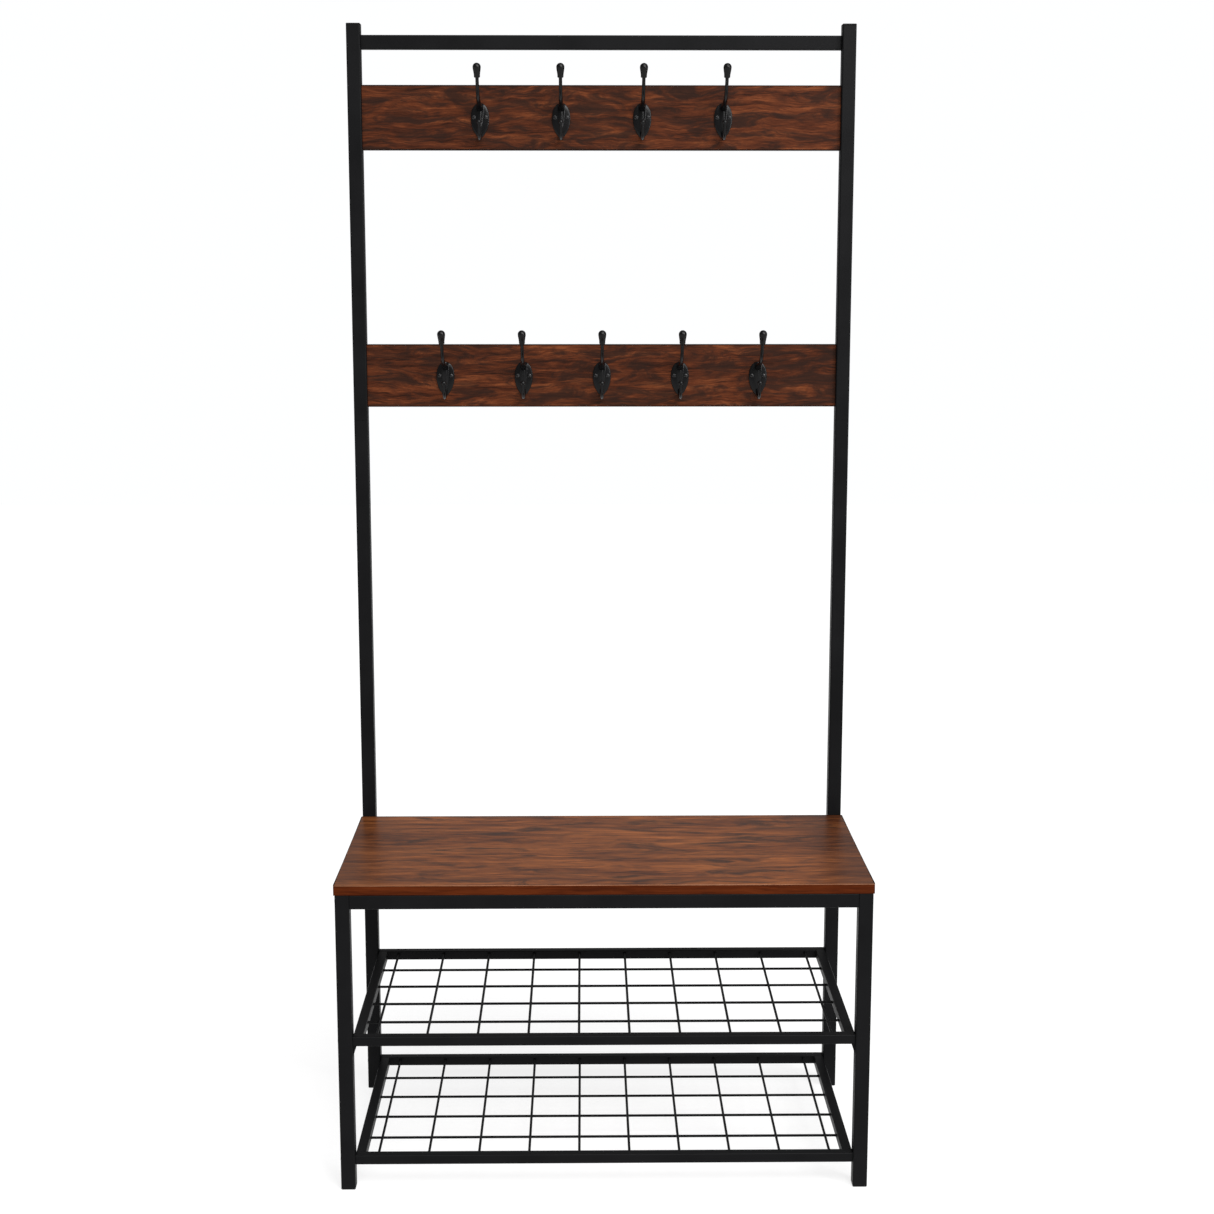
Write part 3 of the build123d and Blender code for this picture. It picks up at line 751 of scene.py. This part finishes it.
def rounded_block(lo, hi, axis, corner, low_round, high_round):
    """Block with rounded edges: a rounded rectangle carried along the axis, drawn in along a
    quarter circle at each end, with a last ring just inside each rim to keep the end flat."""
    lo = np.array(lo)
    hi = np.array(hi)
    half = (hi - lo) / 2
    turn = np.linspace(0, math.pi / 2, 5)
    rings = []
    stations = [(lo[axis], low_round + FLAT_LEAD)]
    stations += [
        (lo[axis] + low_round * (1 - math.cos(t)), low_round * (1 - math.sin(t))) for t in turn
    ]
    stations += [(lo[axis] + low_round + FLAT_LEAD, 0), (hi[axis] - high_round - FLAT_LEAD, 0)]
    stations += [
        (hi[axis] - high_round * (1 - math.cos(t)), high_round * (1 - math.sin(t)))
        for t in turn[::-1]
    ]
    stations += [(hi[axis], high_round + FLAT_LEAD)]
    for along, inset in stations:
        half_a = half[(axis + 1) % 3] - inset
        half_b = half[(axis + 2) % 3] - inset
        outline = rounded_outline(half_a, half_b, max(corner - inset, 0.1 * MM))
        rings.append(laid_across(axis, along, outline, (lo + hi) / 2))
    return skin(np.array(rings))


seat_tones = (
    (0.48, (0.030, 0.0070, 0.0018)),
    (0.56, (0.090, 0.0240, 0.0058)),
    (0.63, (0.155, 0.0450, 0.0105)),
    (0.72, (0.250, 0.0780, 0.0195)),
)
seat_foil = laminate(
    "seat_foil",
    turn=(0, 0, 0),
    offset=(3.1, 1.7, 0.4),
    stretch=(0.55, 0.6, 1),
    patches=0.475,
    tones=seat_tones,
    smoke=(0.015, 0.0070, 0.0045),
    rough=(0.3, 0.42),
    gloss=0.12,
    # painted shade: the seat darkens by half towards both ends
    ends=0.5,
)
band_tones = (
    (0.45, (0.026, 0.0045, 0.0010)),
    (0.60, (0.050, 0.0090, 0.0016)),
    (0.75, (0.076, 0.0150, 0.0030)),
)
seat_band_foil = laminate(
    "seat_band_foil",
    turn=(math.pi / 2, 0, 0),
    offset=(0.6, 2.9, 1.4),
    stretch=(0.6, 1, 1),
    patches=0.6,
    tones=band_tones,
    smoke=(0.014, 0.0040, 0.0015),
    rough=(0.34, 0.46),
    gloss=0.03,
)
# Painted highlight: pale browns for the strip along the seat's top front edge, where the rounded
# edge catches the light.
lip_highlight_tones = (
    (0.45, (0.16, 0.060, 0.028)),
    (0.60, (0.27, 0.115, 0.060)),
    (0.75, (0.36, 0.170, 0.095)),
)
seat_edge_painted_highlight = laminate(
    "seat_edge_painted_highlight",
    turn=(math.pi / 2, 0, 0),
    offset=(2.6, 0.4, 1.1),
    stretch=(0.8, 1, 1),
    patches=0.62,
    tones=lip_highlight_tones,
    smoke=(0.05, 0.020, 0.010),
    rough=(0.3, 0.4),
    gloss=0.1,
)
seat_lo, seat_hi = (np.array(c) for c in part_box("seat_board"))
panel_lo = seat_lo + np.array([BAND, BAND, 0])
panel_hi = seat_hi - np.array([BAND, BAND, 0])
seat_panel = rounded_block(
    panel_lo, panel_hi, axis=2, corner=0.3 * MM, low_round=0.15 * MM, high_round=0.15 * MM
)
add_piece("seat_panel", [seat_panel], seat_foil, ["seat_board"])
highlight_bottom = seat_hi[2] - SEAT_HIGHLIGHT_HEIGHT
for band, low, high in (
    ("front", seat_lo, (seat_hi[0], panel_lo[1], highlight_bottom)),
    ("rear", (seat_lo[0], panel_hi[1], seat_lo[2]), seat_hi),
    ("left", (seat_lo[0], panel_lo[1], seat_lo[2]), (panel_lo[0], panel_hi[1], seat_hi[2])),
    ("right", (panel_hi[0], panel_lo[1], seat_lo[2]), (seat_hi[0], panel_hi[1], seat_hi[2])),
):
    banding = rounded_block(
        low, high, axis=2, corner=0.3 * MM, low_round=0.2 * MM, high_round=0.3 * MM
    )
    add_piece(f"seat_edge_band_{band}", [banding], seat_band_foil)
# The strip along the top front edge carries the painted highlight.
highlight_strip = rounded_block(
    (seat_lo[0], seat_lo[1], highlight_bottom),
    (seat_hi[0], panel_lo[1], seat_hi[2]),
    axis=0,
    corner=0.35 * MM,
    low_round=0.1 * MM,
    high_round=0.1 * MM,
)
add_piece("seat_front_highlight_strip", [highlight_strip], seat_edge_painted_highlight)

# Posts: the rear legs carry on upwards in the same tube, in two lengths joined over inner
# sleeves, and end in flat moulded caps. A flat tube joins them at the top as a rail.
for side in ("left", "right"):
    for post in ("middle_post", "upper_post"):
        node = f"{post}_{side}"
        add_piece(f"{node}_tube", [square_tube(node)], powder_black, [node])
    node = f"post_cap_{side}"
    cap = moulded_plug(node, CAP_FLANGE, CAP_ROUND, points_up=True)
    add_piece(f"{node}_moulding", [cap], moulded_black, [node])
top_rail_tube = square_tube("top_rail", SHELF_CORNER)
add_piece("top_rail_tube", [top_rail_tube], powder_black, ["top_rail"])

# Hook boards: the same foiled board on edge between the posts, darker and smokier in print,
# with a thin band along the top and bottom edges, held by bolts into barrel nuts.
BOARD_BAND = 1.5 * MM

board_tones = (
    (0.48, (0.0150, 0.0048, 0.0024)),
    (0.56, (0.0430, 0.0112, 0.0044)),
    (0.63, (0.0720, 0.0185, 0.0064)),
    (0.72, (0.1300, 0.0370, 0.0122)),
)
board_edge_tones = (
    (0.45, (0.0050, 0.0020, 0.0012)),
    (0.75, (0.0120, 0.0036, 0.0018)),
)
board_band_foil = laminate(
    "board_band_foil",
    turn=(0, 0, 0),
    offset=(1.6, 0.9, 2.4),
    stretch=(0.8, 1, 1),
    patches=0.58,
    tones=board_edge_tones,
    smoke=(0.004, 0.0020, 0.0014),
    rough=(0.4, 0.5),
    gloss=0.03,
)
for row, seed in (("upper", 0.0), ("lower", 5.3)):
    board_foil = laminate(
        f"{row}_board_foil",
        turn=(math.pi / 2, 0, 0),
        offset=(seed, 1.1 * seed, 0.3),
        stretch=(0.85, 1, 0.9),
        patches=0.42,
        tones=board_tones,
        smoke=(0.0125, 0.0062, 0.0044),
        rough=(0.42, 0.54),
        gloss=0.045,
    )
    board_lo, board_hi = (np.array(c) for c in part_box(f"hook_board_{row}"))
    core_lo = board_lo + np.array([0, 0, BOARD_BAND])
    core_hi = board_hi - np.array([0, 0, BOARD_BAND])
    core = rounded_block(
        core_lo, core_hi, axis=1, corner=0.2 * MM, low_round=0.15 * MM, high_round=0.15 * MM
    )
    add_piece(
        f"hook_board_{row}_panel", [core], board_foil, [f"hook_board_{row}"]
    )
    edge_strips = []
    for low_z, high_z in ((board_lo[2], core_lo[2]), (core_hi[2], board_hi[2])):
        low = (board_lo[0], board_lo[1], low_z)
        high = (board_hi[0], board_hi[1], high_z)
        edge_strips.append(
            rounded_block(
                low, high, axis=0, corner=0.4 * MM, low_round=0.1 * MM, high_round=0.1 * MM
            )
        )
    add_piece(f"hook_board_{row}_bands", edge_strips, board_band_foil)

# Hooks: nine zinc castings in glossy black enamel. A leaf-shaped plate with a raised rib lies on
# the board; a long arm rises forward from it to a drop-shaped knob, and a short prong curls up
# from the plate's foot to a small ball.
PLATE_FOOT_MM = -33.0
PLATE_LENGTH_MM = 55.0
PLATE_WIDEST = -1.0 * MM
PLATE_BELOW = 32.5 * MM
PLATE_ABOVE = 23.5 * MM
PLATE_HALF_WIDTH = 14.5 * MM
PLATE_THICK = 3.0 * MM
RIB_RISE = 3.4 * MM
KNOB_RADIUS = 6.3 * MM
BALL_RADIUS = 4.3 * MM

hook_enamel = coated(
    "hook_enamel",
    deep=(0.0010, 0.0010, 0.0012),
    pale=(0.0020, 0.0020, 0.0022),
    bumps=260,
    depth=0.02,
    rough=(0.24, 0.32),
    gloss=0.12,
    coat=0.12,
)


def easy_step(value, low, high):
    """0 below low, 1 above high, and a smooth S between."""
    t = np.clip((value - low) / (high - low), 0, 1)
    return t * t * (3 - 2 * t)


def hook_plate(x, face, middle):
    """Leaf-shaped casting: at each height a flat-backed, domed section as wide as the leaf is
    there, with a flat-topped rib down the middle that narrows and sinks towards the foot."""
    turn = np.linspace(0, math.pi, 41)
    height = (PLATE_FOOT_MM + PLATE_LENGTH_MM * (1 - np.cos(turn)) / 2) * MM
    below = np.clip((PLATE_WIDEST - height) / PLATE_BELOW, 0, 1)
    above = np.clip((height - PLATE_WIDEST) / PLATE_ABOVE, 0, 1)
    half_width = PLATE_HALF_WIDTH * (1 - below**2.1) ** 0.85 * (1 - above**2.3) ** 0.5
    half_width = np.maximum(half_width, 0.4 * MM)[:, None]
    angle = np.linspace(0, 2 * math.pi, 80, endpoint=False)[None, :]
    across = half_width * np.cos(angle)
    front = np.clip(-np.sin(angle), 0, 1)
    fall = (half_width / PLATE_HALF_WIDTH) ** 0.4
    dome = PLATE_THICK * fall * front**0.32 * (0.88 + 0.12 * front)
    rib_half = (2.0 + 4.2 * easy_step(height, -30 * MM, 14 * MM))[:, None] * MM
    rib = np.cos(np.clip(np.abs(across) / rib_half, 0, 1) * math.pi / 2) ** 1.5
    rib_height = (0.1 + 0.9 * easy_step(height, -24 * MM, 8 * MM))[:, None] * RIB_RISE
    rise = dome + rib * rib_height * (front > 0) * easy_step(front, 0.1, 0.5)
    rings = np.empty((len(height), angle.shape[1], 3))
    rings[:, :, 0] = x + across
    rings[:, :, 1] = face - rise
    rings[:, :, 2] = (middle + height)[:, None]
    return skin(rings)


def bezier(forward_and_up):
    """Smooth line drawn between points given in mm as distance forward of the board and height
    from its middle: each point pulls on the line by its Bernstein share at that part of the way."""
    degree = len(forward_and_up) - 1
    t = np.linspace(0, 1, 240)[:, None]
    order = np.arange(degree + 1)
    ways = np.array([math.comb(degree, k) for k in order])
    share = ways * t**order * (1 - t) ** (degree - order)
    return share @ np.array(forward_and_up) * MM


def cast_arm(x, face, middle, line, head, neck, shares, radii):
    """A bar along a line in the upright plane at x, from its root to its tip. The tip is a ball
    of radius head; the neck gives distances from the tip in mm with their radii in mm, and the
    shares run on from the neck's end to the root. Each section stands square to the line."""
    steps = np.linalg.norm(np.diff(line, axis=0), axis=1)
    run = np.concatenate([[0], np.cumsum(steps)])
    turn = np.linspace(0.12, math.pi / 2, 10)
    neck = np.array(neck) * MM
    rest = neck[-1, 0] + (run[-1] - neck[-1, 0]) * np.array(shares)
    from_tip = np.concatenate([head * (1 - np.cos(turn)), neck[:, 0], rest])
    radius = np.concatenate([head * np.sin(turn), neck[:, 1], np.array(radii) * MM])[::-1, None]
    along = run[-1] - from_tip[::-1]
    forward = np.interp(along, run, line[:, 0])
    up = np.interp(along, run, line[:, 1])
    slope = np.gradient(np.stack([forward, up], 1), axis=0)
    slope = slope / np.linalg.norm(slope, axis=1)[:, None]
    angle = np.linspace(0, 2 * math.pi, 28, endpoint=False)[None, :]
    sideways = radius * np.cos(angle)
    square_off = radius * np.sin(angle)
    rings = np.empty((len(along), angle.shape[1], 3))
    rings[:, :, 0] = x + sideways
    rings[:, :, 1] = face - forward[:, None] - square_off * slope[:, 1:]
    rings[:, :, 2] = middle + up[:, None] - square_off * slope[:, :1]
    return skin(rings[:, ::-1])


ARM_LINE = bezier([(1, 13), (22, 19), (48, 20), (66, 21), (73, 38), (79, 54), (89.3, 73.9)])
PRONG_LINE = bezier([(1, -23), (9, -33), (22, -38), (39, -37), (43, -24), (42, -6)])

# Necks: distance from the tip and radius there, in mm. Behind them, the arm and the prong have
# the given radii, in mm, at the given shares of the way from the neck's end to the root.
KNOB_NECK = (
    (8.2, 6.2),
    (11.5, 5.75),
    (15.0, 5.2),
    (18.5, 4.75),
    (20.8, 4.75),
    (21.9, 4.65),
    (22.5, 3.0),
    (23.4, 2.7),
    (26.0, 2.65),
)
ARM_SHARES = (0.12, 0.25, 0.4, 0.55, 0.7, 0.8, 0.88, 0.95, 1.0)
ARM_RADII = (2.7, 2.8, 3.0, 3.3, 3.7, 4.1, 4.6, 5.2, 5.8)
BALL_NECK = ((5.4, 3.5), (6.4, 2.7), (7.6, 2.35), (9.0, 2.3))
PRONG_SHARES = (0.1, 0.2, 0.35, 0.5, 0.65, 0.8, 0.9, 1.0)
PRONG_RADII = (2.3, 2.35, 2.5, 2.65, 2.85, 3.1, 3.3, 3.5)
ARM = (ARM_LINE, KNOB_RADIUS, KNOB_NECK, ARM_SHARES, ARM_RADII)
PRONG = (PRONG_LINE, BALL_RADIUS, BALL_NECK, PRONG_SHARES, PRONG_RADII)

for row, count in (("upper", 4), ("lower", 5)):
    for number in range(1, count + 1):
        node = f"hook_{row}_{number}"
        hook_lo, hook_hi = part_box(node)
        hook_x = (hook_lo[0] + hook_hi[0]) / 2
        board_lo, board_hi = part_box(f"hook_board_{row}")
        board_face = board_lo[1]
        board_middle = (board_lo[2] + board_hi[2]) / 2
        arm = cast_arm(hook_x, board_face, board_middle, *ARM)
        prong = cast_arm(hook_x, board_face, board_middle, *PRONG)
        plate = hook_plate(hook_x, board_face, board_middle)
        add_piece(f"{node}_casting", [plate, arm, prong], hook_enamel, [node], 50)

# Hook screws: two black round-headed wood screws with a cross recess through each plate.
SCREW_HEAD = 3.6 * MM
SCREW_RISE = 2.2 * MM
SCREW_SHANK = 1.9 * MM
SCREW_DEPTH = 3 * MM
SCREW_SPREAD = 9.5 * MM
SCREW_SEAT = 0.93
CROSS_DEPTH = 0.9 * MM
CROSS_INNER = 1.9 * MM
CROSS_OUTER = 2.3 * MM

screw_black = coated(
    "screw_black",
    deep=(0.004, 0.004, 0.0042),
    pale=(0.008, 0.008, 0.0085),
    bumps=1800,
    depth=0.05,
    rough=(0.2, 0.3),
    gloss=0.35,
)


def cross_head(x, face, height):
    """Round head: a shank, then a dome as a quarter oval, with a cross pressed into it where
    the distance to either arm's centre line is small."""
    around = 48
    turn = np.linspace(0, math.pi / 2 * 0.985, 15)
    reach = SCREW_HEAD * np.cos(turn)
    rise = SCREW_RISE * np.sin(turn)
    angle = np.linspace(0, 2 * math.pi, around, endpoint=False)
    reach = np.concatenate([[SCREW_SHANK, SCREW_SHANK], reach])
    rise = np.concatenate([[-SCREW_DEPTH, 0], rise])
    side = reach[:, None] * np.cos(angle)
    up = reach[:, None] * np.sin(angle)
    nearest = np.minimum(np.abs(side), np.abs(up))
    in_cross = 1 - easy_step(nearest, 0.3 * MM, 0.6 * MM)
    in_head = 1 - easy_step(reach, CROSS_INNER, CROSS_OUTER)
    pressed = CROSS_DEPTH * in_cross * in_head[:, None] * (rise > 0)[:, None]
    rings = np.empty((len(reach), around, 3))
    rings[:, :, 0] = x + side
    rings[:, :, 1] = face - (rise[:, None] - pressed)
    rings[:, :, 2] = height + up
    return skin(rings)


for row, count in (("upper", 4), ("lower", 5)):
    heads = []
    for number in range(1, count + 1):
        hook_lo, hook_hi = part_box(f"hook_{row}_{number}")
        board_lo, board_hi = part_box(f"hook_board_{row}")
        for mirror in (-1, 1):
            screw_x = (hook_lo[0] + hook_hi[0]) / 2 + mirror * SCREW_SPREAD
            plate_face = board_lo[1] - PLATE_THICK * SCREW_SEAT
            heads.append(cross_head(screw_x, plate_face, (board_lo[2] + board_hi[2]) / 2))
    node = f"hook_screws_{row}"
    add_piece(f"{node}_heads", heads, screw_black, [node], 40)

# Frame bolts: black M6 bolts with thin flat heads and a hexagon socket, on the outer faces of the
# legs and posts, one into each rail end and two into each end of a hook board. Smaller screws of
# the same kind lock the sleeves where two lengths of tube meet.
BOLT_HEAD = 5.25 * MM
BOLT_RISE = 1.0 * MM
BOLT_SHANK = 3.0 * MM
SHANK_TIP = 0.85
SOCKET = 2.2 * MM
SOCKET_DEPTH = 2.4 * MM
DOME_END = 1.05
RAIL_BOLT = 30 * MM
BOARD_BOLT = 40 * MM
BOARD_BOLT_SPREAD = 28 * MM
SLEEVE_SCREW = 4 * MM
SLEEVE_SCREW_SPREAD = 30 * MM


def flat_head_bolt(mirror, face, y, z, size, length):
    """Thin head: shank, flat seat, a low dome, then a hexagonal socket, whose radius in each
    direction is the flat's distance over the cosine of the angle from that flat."""
    around = 36
    angle = np.linspace(0, 2 * math.pi, around, endpoint=False)
    from_flat = (angle + math.pi / 6) % (math.pi / 3) - math.pi / 6
    hexagon = SOCKET * size / np.cos(from_flat)
    turn = np.linspace(0.05, DOME_END, 7)
    dome_reach = BOLT_HEAD * size * np.cos(turn) ** 0.75
    dome_rise = BOLT_RISE * size * np.sin(turn) / math.sin(DOME_END)
    shank = BOLT_SHANK * size
    plain = np.concatenate([[shank * SHANK_TIP, shank, shank], dome_reach])
    radius = np.repeat(plain[:, None], around, axis=1)
    radius = np.concatenate([radius, [hexagon * 1.06, hexagon, hexagon]])
    rise = BOLT_RISE * size
    shank_along = [-length, -length + 0.5 * MM, 0]
    socket_along = [rise, rise - 0.15 * MM, rise - SOCKET_DEPTH * size]
    along = np.concatenate([shank_along, dome_rise, socket_along])
    return turned((mirror * face, y, z), (mirror, 0, 0), along, radius, around)


bolt_black = coated(
    "bolt_black",
    deep=(0.0030, 0.0030, 0.0032),
    pale=(0.0050, 0.0050, 0.0054),
    bumps=1200,
    depth=0.1,
    rough=(0.28, 0.4),
    gloss=0.15,
)
outer_face = leg_hi[0]
shelf_rail_places = []
for shelf in ("upper", "lower"):
    for end in ("front", "rear"):
        rail_lo, rail_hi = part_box(f"{shelf}_shelf_rail_{end}")
        shelf_rail_places.append(((rail_lo[1] + rail_hi[1]) / 2, (rail_lo[2] + rail_hi[2]) / 2))
apron_places = []
for end in ("front", "rear"):
    rail_lo, rail_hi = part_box(f"seat_apron_{end}")
    apron_places.append(((rail_lo[1] + rail_hi[1]) / 2, (rail_lo[2] + rail_hi[2]) / 2))
rail_lo, rail_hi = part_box("top_rail")
top_rail_places = [((rail_lo[1] + rail_hi[1]) / 2, (rail_lo[2] + rail_hi[2]) / 2)]
board_places = []
for row in ("upper", "lower"):
    board_lo, board_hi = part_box(f"hook_board_{row}")
    board_y = (board_lo[1] + board_hi[1]) / 2
    board_z = (board_lo[2] + board_hi[2]) / 2
    board_places += [(board_y, board_z + way * BOARD_BOLT_SPREAD) for way in (-1, 1)]
post_y = (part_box("upper_post_left")[0][1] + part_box("upper_post_left")[1][1]) / 2
joints = (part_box("middle_post_left")[0][2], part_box("upper_post_left")[0][2])
sleeve_places = [(post_y, joint + way * SLEEVE_SCREW_SPREAD) for joint in joints for way in (-1, 1)]
for node, places, size, length in (
    ("shelf_bolts", shelf_rail_places, 1.0, RAIL_BOLT),
    ("apron_bolts", apron_places, 1.0, RAIL_BOLT),
    ("top_rail_bolts", top_rail_places, 1.0, RAIL_BOLT),
    ("hook_board_bolts", board_places, 1.0, BOARD_BOLT),
    ("sleeve_screws", sleeve_places, 0.7, SLEEVE_SCREW),
):
    bolts = []
    for mirror in (-1, 1):
        bolts += [flat_head_bolt(mirror, outer_face, y, z, size, length) for y, z in places]
    add_piece(f"{node}_heads", bolts, bolt_black, [node], 35)

# Hidden steel: sleeves in the posts, threaded plugs in the rail ends, barrel nuts and seat screws
# are bright zinc plated. The six seat tabs are bent strip, welded and coated with the frame.
zinc = coated(
    "zinc_plate",
    deep=(0.5, 0.51, 0.53),
    pale=(0.66, 0.67, 0.68),
    bumps=400,
    depth=0.1,
    rough=(0.28, 0.42),
    gloss=0.5,
    metallic=1.0,
)
zinc_nodes = ["rail_end_plugs", "barrel_nuts", "seat_screws"]
for sleeve in ("seat", "post"):
    zinc_nodes += [f"{sleeve}_sleeve_left", f"{sleeve}_sleeve_right"]
for node, finish in [(name, zinc) for name in zinc_nodes] + [("seat_tabs", powder_black)]:
    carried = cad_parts[node].data
    carried.materials.clear()
    carried.materials.append(finish)
